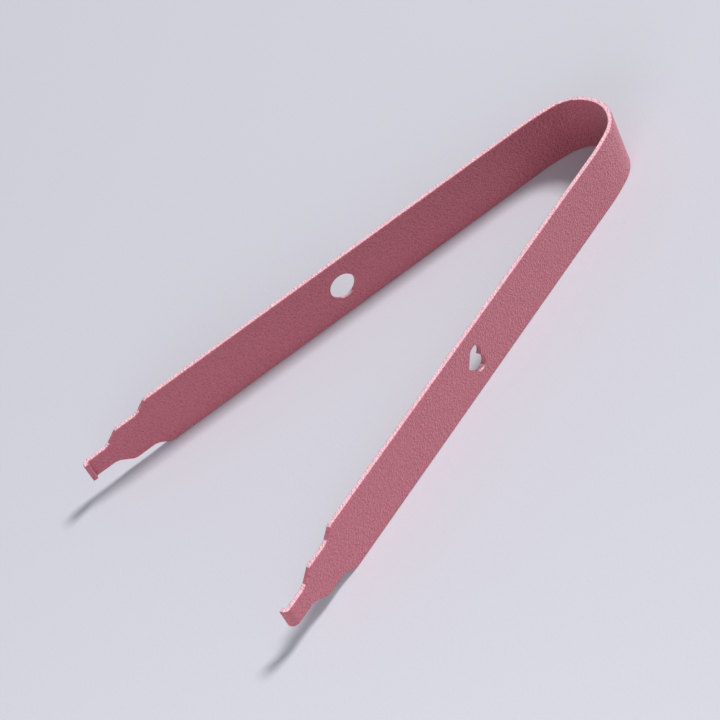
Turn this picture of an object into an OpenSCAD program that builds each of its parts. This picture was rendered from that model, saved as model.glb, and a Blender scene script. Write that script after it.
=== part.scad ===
// Keyboard switch puller, bent from one strip of spring steel.
// It lies on its long edges, as it would on a desk. X runs from the jaws to the bend,
// Y runs across the two arms, and Z runs across the width of the strip.
// The origin is under the middle of the part, on the surface that it lies on.

/* [Strip] */
// Width of the strip, which is the height of the part as it lies
strip_w = 12; // [11:0.5:14]
// Thickness of the strip with its coating
strip_t = 1; // [0.8:0.1:1.4]
// Radius that rounds every long edge of the strip
edge_r = 0.25; // [0.1:0.05:0.35]

/* [Bend] */
// Inside radius of the bend
bend_r = 7.25; // [5:0.25:10]
// Angle that the bend turns through on each side of the long axis
bend_turn = 70; // [50:1:75]
// Inside radius of the flatter curve that joins the bend to each arm
shoulder_r = 44; // [15:1:80]
// Angle that each arm opens away from the long axis
splay = 11.6; // [5:0.1:14]

/* [Arms] */
// Straight length of each arm, from the end of the shoulder to the outside of the jaw
arm_l = 99; // [80:1:130]
// Distance from the outside of the jaw back to the sharp corner of the first step
step_1_back = 15.5; // [14:0.1:24]
// Distance from the outside of the jaw back to the sharp corner of the second step
step_2_back = 8.4; // [7:0.1:10]
// Width of the blade between the two steps
mid_w = 8.4; // [7.5:0.1:9]
// Width of the tip
tip_w = 4.1; // [3:0.1:5]
// Slope of each step against the long edge
step_slope = 37; // [33:1:45]
// Radius that eases the outer corner of each step
step_corner_r = 2; // [1:0.1:2.5]
// Radius that eases the foot of each step
step_foot_r = 3; // [1.5:0.1:3.5]

/* [Jaws] */
// Distance that each jaw stands in from the inner face of its arm
jaw_lip = 0.7; // [0.6:0.1:3]
// Inside radius of the fold that turns the jaw
jaw_r = 0.3; // [0.2:0.05:0.35]

/* [Holes] */
// Distance from the outside of the jaw back to the middle of the hole in each arm
hole_back = 56.4; // [30:0.1:80]
// Diameter of the round hole in the far arm
hole_d = 5.2; // [3:0.1:8]
// Radius of the two lobes of the heart in the near arm
heart_lobe_r = 1.55; // [1.4:0.05:1.9]
// Distance from the middle of the arm to the centre of each lobe
heart_lobe_off = 1.3; // [1:0.05:1.5]
// Length of the heart from its lobes to its point
heart_l = 4.35; // [3.9:0.05:6]
// Radius of the heart's rounded point
heart_point_r = 0.3; // [0.25:0.05:0.5]

/* [Hidden] */
$fn = 96;

// Half of the strip's thickness, from its middle surface to either face
half_t = strip_t / 2;
// Radii of the middle surface in the bend and in the shoulders
bend_mid_r = bend_r + half_t;
shoulder_mid_r = shoulder_r + half_t;
// Angle that each shoulder turns through, from the end of the bend to the arm
shoulder_turn = 90 - splay - bend_turn;
// Place along X where each arm starts, on the middle surface, seen from the centre of the bend
arm_start_x = (bend_mid_r - shoulder_mid_r) * cos(bend_turn) + shoulder_mid_r * sin(splay);
// Place along the arm where the fold of the jaw starts
fold_at = arm_l - strip_t - jaw_r;
// Straight length of the jaw past its fold
jaw_flat = jaw_lip - jaw_r;
// Furthest reach of the bend and of the jaws along X, seen from the centre of the bend
x_bend = bend_r + strip_t;
x_jaws = arm_start_x - (arm_l - edge_r) * cos(splay)
       - (half_t + jaw_lip - edge_r) * sin(splay) - edge_r;
// Overshoot of every cutter past the faces it cuts, and of each bar into the wider one before it
over = 1;
// Reach of a rim cutter into the hole whose rim it rounds
rim_back = 0.2;
// Share of each curve's turn that each of its two overlapping pieces covers
lap_share = 0.6;

// Length of a step along the arm, from its sharp corner to its sharp foot
function step_run(w_a, w_b) = (w_a - w_b) / 2 / tan(step_slope);
// Distance from a sharp corner or foot to the flat at half the slope that eases it to a radius
function ease(r) = r * (tan(step_slope / 2) - tan(step_slope / 4));

// Cross-section of the strip: thickness across, width up, all four corners rounded
module strip_section(w) {
    square([strip_t - 2 * edge_r, w], center = true);
    square([strip_t, w - 2 * edge_r], center = true);
    for (x = [-1, 1], y = [-1, 1])
        translate([x * (half_t - edge_r), y * (w / 2 - edge_r)])
            circle(edge_r);
}

// Cutter that slopes one long edge of a bar inward along X, and leaves the new edge rounded
module slope_cutter(length) {
    rotate([90, 0, 90])
        linear_extrude(length)
            difference() {
                translate([-edge_r, -half_t - over])
                    square([edge_r + length, strip_t + 2 * over]);
                translate([-strip_w / 2, 0])
                    rotate(90)
                        strip_section(strip_w);
            }
}

// Straight bar of the strip along X, lying in XY
module bar(from, to, w) {
    translate([from, 0, 0])
        rotate([90, 0, 90])
            linear_extrude(to - from)
                rotate(90)
                    strip_section(w);
}

// Straight bar whose two long edges are cut by slopes, each given by its place and its angle
module sloped_bar(from, to, w, slopes) {
    difference() {
        bar(from, to, w);
        for (slope = slopes, y = [0, 1])
            mirror([0, y, 0])
                translate([slope[0], w / 2, 0])
                    rotate([0, 0, -slope[1]])
                        translate([-over, 0, 0])
                            slope_cutter(w);
    }
}

// Bar of the wider width that steps down to a narrower one, with its corner and foot eased.
// A second, shorter bar inside its foot carries the flat that eases the foot.
module stepped_bar(from, at, w_a, w_b) {
    foot = at + step_run(w_a, w_b);
    foot_ease = ease(step_foot_r);
    ease_at = foot - 2 * foot_ease;
    ease_w = w_b + 2 * (foot + foot_ease - ease_at) * tan(step_slope / 2);
    sloped_bar(from, foot + over, w_a,
               [[at, step_slope], [at - ease(step_corner_r), step_slope / 2]]);
    sloped_bar(ease_at - over, foot + foot_ease + over, ease_w,
               [[ease_at, step_slope / 2]]);
}

// Flat blade of one arm up to the fold of its jaw, lying in XY.
// The child is the cutter of the hole in it.
module blade() {
    step_1 = arm_l - step_1_back;
    step_2 = arm_l - step_2_back;
    difference() {
        union() {
            stepped_bar(0, step_1, strip_w, mid_w);
            stepped_bar(step_1 - over, step_2, mid_w, tip_w);
            bar(step_2 - over, fold_at, tip_w);
        }
        translate([arm_l - hole_back, 0, 0])
            children();
    }
}

// Rounds both rims of a round hole, about the hole's middle
module round_rims(r) {
    rotate_extrude()
        for (y = [0, 1])
            mirror([0, y])
                difference() {
                    translate([r - rim_back, half_t - edge_r])
                        square([rim_back + edge_r, edge_r + over]);
                    translate([r + edge_r, half_t - edge_r])
                        circle(edge_r);
                }
}

// Outline of a bar's free end, with its two corners rounded
module end_outline(w) {
    translate([-w / 2, 0])
        square([w, jaw_flat - edge_r]);
    translate([edge_r - w / 2, 0])
        square([w - 2 * edge_r, jaw_flat]);
    for (x = [-1, 1])
        translate([x * (w / 2 - edge_r), jaw_flat - edge_r])
            circle(edge_r);
}

// Jaw: the tip folds inward through a right angle and ends in a short lip
module jaw() {
    fold_mid_r = jaw_r + half_t;
    translate([fold_at, half_t + jaw_r, 0]) {
        rotate([0, 0, -90])
            rotate_extrude(angle = 90)
                translate([fold_mid_r, 0])
                    strip_section(tip_w);
        translate([fold_mid_r, 0, 0])
            intersection() {
                rotate([-90, 0, 0])
                    linear_extrude(jaw_flat)
                        strip_section(tip_w);
                linear_extrude(tip_w, center = true)
                    end_outline(strip_t);
                rotate([90, 0, 90])
                    linear_extrude(strip_t, center = true)
                        rotate(-90)
                            end_outline(tip_w);
            }
    }
}

// Cutter of the round hole, through a blade that lies in XY
module round_cut() {
    cylinder(h = strip_t + 2 * over, d = hole_d, center = true);
    round_rims(hole_d / 2);
}

// Cutter of the heart, through a blade that lies in XY, with its point toward +X
module heart_cut() {
    point_x = heart_l - heart_lobe_r - heart_point_r;
    lobe = [0, heart_lobe_off];
    point = [point_x, 0];
    reach = norm([point_x, heart_lobe_off]);
    // Direction that the straight side faces, and the points where it meets the two arcs
    side_dir = atan2(heart_lobe_off, -point_x) - acos((heart_point_r - heart_lobe_r) / reach);
    facing = [cos(side_dir), sin(side_dir)];
    lobe_touch = lobe + heart_lobe_r * facing;
    point_touch = point + heart_point_r * facing;
    translate([heart_lobe_r - heart_l / 2, 0, 0])
        linear_extrude(strip_t + 2 * over, center = true)
            for (y = [0, 1])
                mirror([0, y]) {
                    polygon([[0, 0], lobe, lobe_touch, point_touch, point]);
                    translate(lobe)
                        circle(heart_lobe_r);
                    translate(point)
                        circle(heart_point_r);
                }
}

// One arm from its start to its jaw, with the blade upright and the jaw turned toward +Y.
// The child is the cutter of the arm's hole.
module arm() {
    rotate([90, 0, 0])
        blade()
            children();
    jaw();
}

// Curved piece of the strip, starting on the X axis
module strip_curve(mid_r, turn) {
    rotate_extrude(angle = turn)
        translate([mid_r, 0])
            strip_section(strip_w);
}

// Moves a child from the centre of the bend to the centre of the far shoulder
module at_far_shoulder() {
    rotate([0, 0, bend_turn])
        translate([bend_mid_r - shoulder_mid_r, 0, 0])
            children();
}

// Moves an arm from its own frame to the end of the far shoulder
module at_far_arm() {
    at_far_shoulder()
        rotate([0, 0, shoulder_turn])
            translate([shoulder_mid_r, 0, 0])
                rotate([0, 0, 90])
                    children();
}

// Far half of the bend with its shoulder, about the centre of the bend.
// Each curve starts at its joints and overlaps itself in its middle, so that its ends are flush.
module half_bend() {
    rotate([0, 0, bend_turn])
        mirror([0, 1, 0])
            strip_curve(bend_mid_r, 2 * lap_share * bend_turn);
    at_far_shoulder() {
        strip_curve(shoulder_mid_r, lap_share * shoulder_turn);
        rotate([0, 0, shoulder_turn])
            mirror([0, 1, 0])
                strip_curve(shoulder_mid_r, lap_share * shoulder_turn);
    }
}

module puller() {
    color([0.72, 0.42, 0.47])
        translate([-(x_bend + x_jaws) / 2, 0, strip_w / 2]) {
            half_bend();
            at_far_arm()
                arm()
                    round_cut();
            mirror([0, 1, 0]) {
                half_bend();
                at_far_arm()
                    arm()
                        heart_cut();
            }
        }
}

puller();
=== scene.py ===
"""Keyboard switch puller, a bent strip of spring steel in pink powder coat, on a pale desk mat."""

import math

import bpy
from mathutils import Matrix, Vector

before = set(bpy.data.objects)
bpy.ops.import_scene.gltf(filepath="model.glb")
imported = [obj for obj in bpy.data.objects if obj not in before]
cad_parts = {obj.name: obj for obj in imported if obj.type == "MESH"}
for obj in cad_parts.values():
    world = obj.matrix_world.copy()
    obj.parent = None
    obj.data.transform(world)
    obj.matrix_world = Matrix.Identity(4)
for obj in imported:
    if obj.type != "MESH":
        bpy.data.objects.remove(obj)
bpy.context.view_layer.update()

# Camera of the photograph: its place and its directions in the part's own frame, in metres
CAMERA_PLACE = (-0.116317, -0.265208, 0.282509)
CAMERA_RIGHT = (0.685798, -0.637972, -0.350246)
CAMERA_DOWN = (-0.676810, -0.382103, -0.629226)
CAMERA_AHEAD = (0.267599, 0.668572, -0.693831)
CAMERA_LENS_MM = 114.566
SENSOR_MM = 36.0
CLIP_NEAR, CLIP_FAR = 0.01, 20.0

# Lamps: angles in degrees from +X towards +Y and up, distance and side in metres
KEY_LAMP = {"azimuth": -3.0, "elevation": 45.0, "distance": 3.0, "side": 0.6,
            "watts": 86.0, "colour": (1.0, 0.98, 0.96)}
FRONT_LAMP = {"azimuth": -140.0, "elevation": 26.0, "distance": 0.36, "side": 0.2,
              "watts": 0.38, "colour": (1.0, 1.0, 1.0)}
FILL_COLOUR = (0.92, 0.94, 1.0)
FILL_STRENGTH = 0.31
BACKDROP_COLOUR = (0.80, 0.81, 0.84)

# Powder coat: colours are linear, depths are in metres
COAT_ROSE = (0.55, 0.142, 0.193)
COAT_ROSE_DEEP = (0.52, 0.124, 0.173)
# Pale pink painted on the faces that look up or down as a highlight, not a colour of the coat
COAT_PAINTED_HIGHLIGHT = (0.95, 0.59, 0.67)
COAT_SHEEN_TINT = (1.0, 0.93, 0.95)
COAT_SHEEN, COAT_SHEEN_ROUGHNESS = 0.25, 0.45
COAT_SHINE = 0.45
COAT_ROUGHNESS = (0.42, 0.62)
COAT_PATCHES_PER_METRE, COAT_PATCH_DETAIL = 500, 1.0
COAT_LUMPS_PER_METRE, COAT_LUMP_HEIGHT = 2200, 1.4
COAT_PEBBLES_PER_METRE, COAT_PEBBLE_SOFTNESS = 2700, 0.6
COAT_GRAIN_STRENGTH, COAT_GRAIN_DEPTH = 0.9, 0.00026

# Painted highlight on the cut edges: how squarely a face looks up or down (1 is squarely) where
# the painted highlight starts and where it is full, and how much of it the flecks of the grain let
# through
HIGHLIGHT_TURN = (0.83, 0.96)
HIGHLIGHT_COVER = (0.8, 1.0)

# The part of the fleck's range that the rose colours and the painted highlight use
ROSE_FLECKS = (0.35, 0.62)
HIGHLIGHT_FLECKS = (0.2, 0.8)

# Desk mat
MAT_GREY = (0.60, 0.605, 0.67)
MAT_SHINE = 0.3
MAT_ROUGHNESS = (0.7, 0.8)
MAT_LUMPS_PER_METRE, MAT_LUMP_HEIGHT = 1600, 1.0
MAT_GRAIN_STRENGTH, MAT_GRAIN_DEPTH = 0.25, 0.0001
MAT_HALF_SIDE = 4.0

# Noise of the grain
LUMP_DETAIL, LUMP_ROUGHNESS = 2.0, 0.6

# The full range of a mask or a noise
WHOLE_RANGE = (0.0, 1.0)


def direction(azimuth, elevation):
    """Unit vector that points up and away at these angles, in degrees."""
    a, e = math.radians(azimuth), math.radians(elevation)
    return Vector((math.cos(a) * math.cos(e), math.sin(a) * math.cos(e), math.sin(e)))


def place_object(name, data):
    """An object of this data, linked into the scene."""
    thing = bpy.data.objects.new(name, data)
    bpy.context.scene.collection.objects.link(thing)
    return thing


def make_camera():
    """Stands the camera where the photograph was taken from."""
    data = bpy.data.cameras.new("camera")
    data.sensor_width = SENSOR_MM
    data.lens = CAMERA_LENS_MM
    data.clip_start, data.clip_end = CLIP_NEAR, CLIP_FAR
    up, back = [-c for c in CAMERA_DOWN], [-c for c in CAMERA_AHEAD]
    turn = Matrix((CAMERA_RIGHT, up, back)).transposed()
    camera = place_object("camera", data)
    camera.matrix_world = Matrix.Translation(CAMERA_PLACE) @ turn.to_4x4()
    bpy.context.scene.camera = camera


def make_lamp(name, azimuth, elevation, distance, side, watts, colour):
    """A square soft lamp that faces the middle of the puller."""
    data = bpy.data.lights.new(name, "AREA")
    data.shape = "SQUARE"
    data.size = side
    data.energy = watts
    data.color = colour
    lamp = place_object(name, data)
    away = direction(azimuth, elevation)
    lamp.location = away * distance
    lamp.rotation_euler = (-away).to_track_quat("-Z", "Y").to_euler()


def worked_out(tree, operation, *values):
    """Result of one step of arithmetic on one or two varying values."""
    node = tree.nodes.new("ShaderNodeMath")
    node.operation = operation
    for value, socket in zip(values, node.inputs):
        tree.links.new(value, socket)
    return node.outputs["Value"]


def spread(tree, value, taken, given):
    """Eases a varying value from one range of numbers into another."""
    node = tree.nodes.new("ShaderNodeMapRange")
    node.interpolation_type = "SMOOTHSTEP"
    for name, number in zip(("From Min", "From Max", "To Min", "To Max"), (*taken, *given)):
        node.inputs[name].default_value = number
    tree.links.new(value, node.inputs["Value"])
    return node.outputs["Result"]


def mixed_colour(tree, mask, under, over):
    """Colour `over` laid on colour `under` by a mask; each is a socket or three numbers."""
    node = tree.nodes.new("ShaderNodeMix")
    node.data_type = "RGBA"
    colour_in = [socket for socket in node.inputs if socket.type == "RGBA"]
    for socket, colour in zip(colour_in, (under, over)):
        if isinstance(colour, tuple):
            socket.default_value = (*colour, 1)
        else:
            tree.links.new(colour, socket)
    tree.links.new(mask, node.inputs["Factor"])
    return next(socket for socket in node.outputs if socket.type == "RGBA")


def make_world():
    """Soft light from all round; the eye and reflections see a pale backdrop past the mat."""
    world = bpy.data.worlds.new("studio")
    bpy.context.scene.world = world
    world.use_nodes = True
    tree = world.node_tree
    tree.nodes.clear()
    fill = tree.nodes.new("ShaderNodeBackground")
    fill.inputs["Color"].default_value = (*FILL_COLOUR, 1)
    fill.inputs["Strength"].default_value = FILL_STRENGTH
    backdrop = tree.nodes.new("ShaderNodeBackground")
    backdrop.inputs["Color"].default_value = (*BACKDROP_COLOUR, 1)
    path = tree.nodes.new("ShaderNodeLightPath")
    seen = path.outputs["Is Camera Ray"]
    for ray in ("Is Glossy Ray", "Is Transmission Ray"):
        seen = worked_out(tree, "MAXIMUM", seen, path.outputs[ray])
    shown = tree.nodes.new("ShaderNodeMixShader")
    out = tree.nodes.new("ShaderNodeOutputWorld")
    tree.links.new(seen, shown.inputs["Fac"])
    tree.links.new(fill.outputs["Background"], shown.inputs[1])
    tree.links.new(backdrop.outputs["Background"], shown.inputs[2])
    tree.links.new(shown.outputs["Shader"], out.inputs["Surface"])


def fine_grain():
    """Node group of a sandy surface: soft lumps with finer ones on them."""
    group = bpy.data.node_groups.new("fine_grain", "ShaderNodeTree")
    face = group.interface
    face.new_socket("Place", in_out="INPUT", socket_type="NodeSocketVector")
    for name in ("Lumps per Metre", "Lump Height"):
        face.new_socket(name, in_out="INPUT", socket_type="NodeSocketFloat")
    for name in ("Height", "Fleck"):
        face.new_socket(name, in_out="OUTPUT", socket_type="NodeSocketFloat")
    given, out = group.nodes.new("NodeGroupInput"), group.nodes.new("NodeGroupOutput")
    lumps = group.nodes.new("ShaderNodeTexNoise")
    lumps.inputs["Detail"].default_value = LUMP_DETAIL
    lumps.inputs["Roughness"].default_value = LUMP_ROUGHNESS
    group.links.new(given.outputs["Place"], lumps.inputs["Vector"])
    group.links.new(given.outputs["Lumps per Metre"], lumps.inputs["Scale"])
    height = worked_out(group, "MULTIPLY", lumps.outputs["Fac"], given.outputs["Lump Height"])
    group.links.new(height, out.inputs["Height"])
    group.links.new(lumps.outputs["Fac"], out.inputs["Fleck"])
    return group


def new_finish(name, grain, lumps_per_metre, lump_height, strength, depth):
    """A material with its own values of the grain; also its place, grain and bump nodes."""
    material = bpy.data.materials.new(name)
    material.use_nodes = True
    tree = material.node_tree
    place = tree.nodes.new("ShaderNodeTexCoord")
    sand = tree.nodes.new("ShaderNodeGroup")
    sand.node_tree = grain
    sand.inputs["Lumps per Metre"].default_value = lumps_per_metre
    sand.inputs["Lump Height"].default_value = lump_height
    tree.links.new(place.outputs["Object"], sand.inputs["Place"])
    bump = tree.nodes.new("ShaderNodeBump")
    bump.inputs["Strength"].default_value = strength
    bump.inputs["Distance"].default_value = depth
    tree.links.new(sand.outputs["Height"], bump.inputs["Height"])
    tree.links.new(bump.outputs["Normal"], tree.nodes["Principled BSDF"].inputs["Normal"])
    return material, place, sand, bump


def pink_powder_coat(grain):
    """Sandy powder coat in rose pink, with a pale highlight painted on the cut long edges."""
    material, place, sand, bump = new_finish(
        "pink_powder_coat", grain, COAT_LUMPS_PER_METRE, COAT_LUMP_HEIGHT,
        COAT_GRAIN_STRENGTH, COAT_GRAIN_DEPTH)
    tree = material.node_tree
    shader = tree.nodes["Principled BSDF"]
    shader.inputs["Specular IOR Level"].default_value = COAT_SHINE
    shader.inputs["Sheen Weight"].default_value = COAT_SHEEN
    shader.inputs["Sheen Roughness"].default_value = COAT_SHEEN_ROUGHNESS
    shader.inputs["Sheen Tint"].default_value = (*COAT_SHEEN_TINT, 1)

    # Rounded pebbles lie among the lumps of the grain
    pebbles = tree.nodes.new("ShaderNodeTexVoronoi")
    pebbles.feature = "SMOOTH_F1"
    pebbles.inputs["Scale"].default_value = COAT_PEBBLES_PER_METRE
    pebbles.inputs["Smoothness"].default_value = COAT_PEBBLE_SOFTNESS
    tree.links.new(place.outputs["Object"], pebbles.inputs["Vector"])
    height = worked_out(tree, "ADD", sand.outputs["Height"], pebbles.outputs["Distance"])
    tree.links.new(height, bump.inputs["Height"])

    # High places of the grain are a lighter rose than low ones
    fleck = sand.outputs["Fleck"]
    lighter = spread(tree, fleck, ROSE_FLECKS, WHOLE_RANGE)
    rose = mixed_colour(tree, lighter, COAT_ROSE_DEEP, COAT_ROSE)

    # The cut edges are the faces that look straight up or down; a pale highlight is painted on
    # them
    facing = tree.nodes.new("ShaderNodeSeparateXYZ")
    tree.links.new(place.outputs["Normal"], facing.inputs["Vector"])
    upright = worked_out(tree, "ABSOLUTE", facing.outputs["Z"])
    painted_highlight = worked_out(tree, "MULTIPLY", spread(tree, upright, HIGHLIGHT_TURN, WHOLE_RANGE),
                      spread(tree, fleck, HIGHLIGHT_FLECKS, HIGHLIGHT_COVER))
    tree.links.new(mixed_colour(tree, painted_highlight, rose, COAT_PAINTED_HIGHLIGHT), shader.inputs["Base Color"])

    # Patches about two millimetres wide are a little smoother than the rest
    patches = tree.nodes.new("ShaderNodeTexNoise")
    patches.inputs["Scale"].default_value = COAT_PATCHES_PER_METRE
    patches.inputs["Detail"].default_value = COAT_PATCH_DETAIL
    tree.links.new(place.outputs["Object"], patches.inputs["Vector"])
    roughness = spread(tree, patches.outputs["Fac"], WHOLE_RANGE, COAT_ROUGHNESS)
    tree.links.new(roughness, shader.inputs["Roughness"])
    return material


def pale_desk_mat(grain):
    """Pale grey matt desk mat with a very fine grain."""
    material, _, sand, _ = new_finish(
        "pale_desk_mat", grain, MAT_LUMPS_PER_METRE, MAT_LUMP_HEIGHT,
        MAT_GRAIN_STRENGTH, MAT_GRAIN_DEPTH)
    tree = material.node_tree
    shader = tree.nodes["Principled BSDF"]
    shader.inputs["Base Color"].default_value = (*MAT_GREY, 1)
    shader.inputs["Specular IOR Level"].default_value = MAT_SHINE
    roughness = spread(tree, sand.outputs["Fleck"], WHOLE_RANGE, MAT_ROUGHNESS)
    tree.links.new(roughness, shader.inputs["Roughness"])
    return material


def make_floor(finish):
    """The desk mat that the puller lies on."""
    square = ((-1, -1), (1, -1), (1, 1), (-1, 1))
    corners = [(x * MAT_HALF_SIDE, y * MAT_HALF_SIDE, 0) for x, y in square]
    mesh = bpy.data.meshes.new("desk_mat")
    mesh.from_pydata(corners, [], [(0, 1, 2, 3)])
    mesh.materials.append(finish)
    place_object("desk_mat", mesh)


grain = fine_grain()
coat = pink_powder_coat(grain)
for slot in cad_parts["puller"].material_slots:
    slot.material = coat

make_floor(pale_desk_mat(grain))
make_camera()
make_world()
make_lamp("key_lamp", **KEY_LAMP)
make_lamp("front_lamp", **FRONT_LAMP)
bpy.context.scene.view_settings.view_transform = "Standard"
